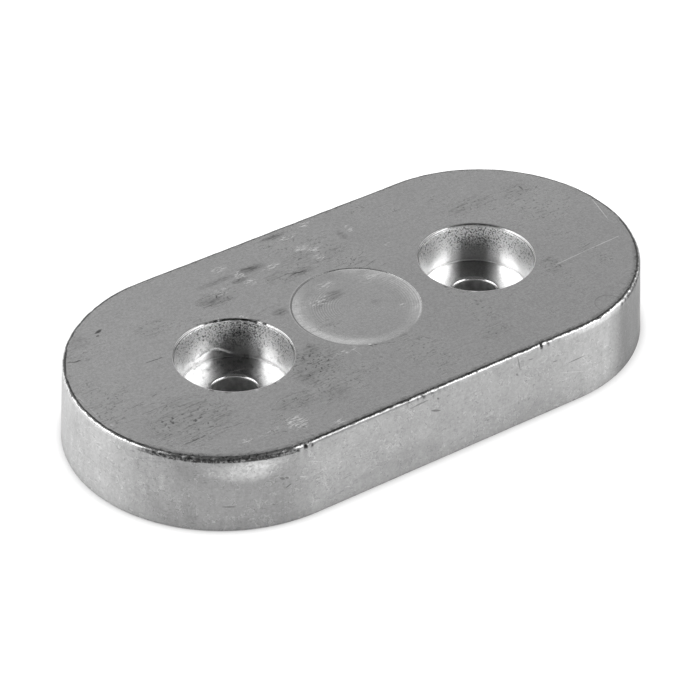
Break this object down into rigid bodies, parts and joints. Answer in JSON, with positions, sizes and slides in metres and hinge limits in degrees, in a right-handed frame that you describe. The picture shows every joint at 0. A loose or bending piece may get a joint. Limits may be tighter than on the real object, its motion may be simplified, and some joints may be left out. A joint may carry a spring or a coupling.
{
  "type": "sacrificial anode",
  "caption": "Slot-shaped sacrificial anode casting that bolts flat to a hull through recessed bolt pockets and corrodes in its place.",
  "frame": {"origin": "centre of the flat hull face", "axes": "+X along the casting's length, +Y across it, +Z away from the hull, out of the face with the bolt pockets"},
  "size_m": [0.204, 0.103, 0.027],
  "materials": {
    "anode_metal": "bright as-cast zinc with fine grain, scratches and dull stains"
  },
  "bodies": {
    "root": {"anode_body": "anode_metal"}
  },
  "joints": []
}
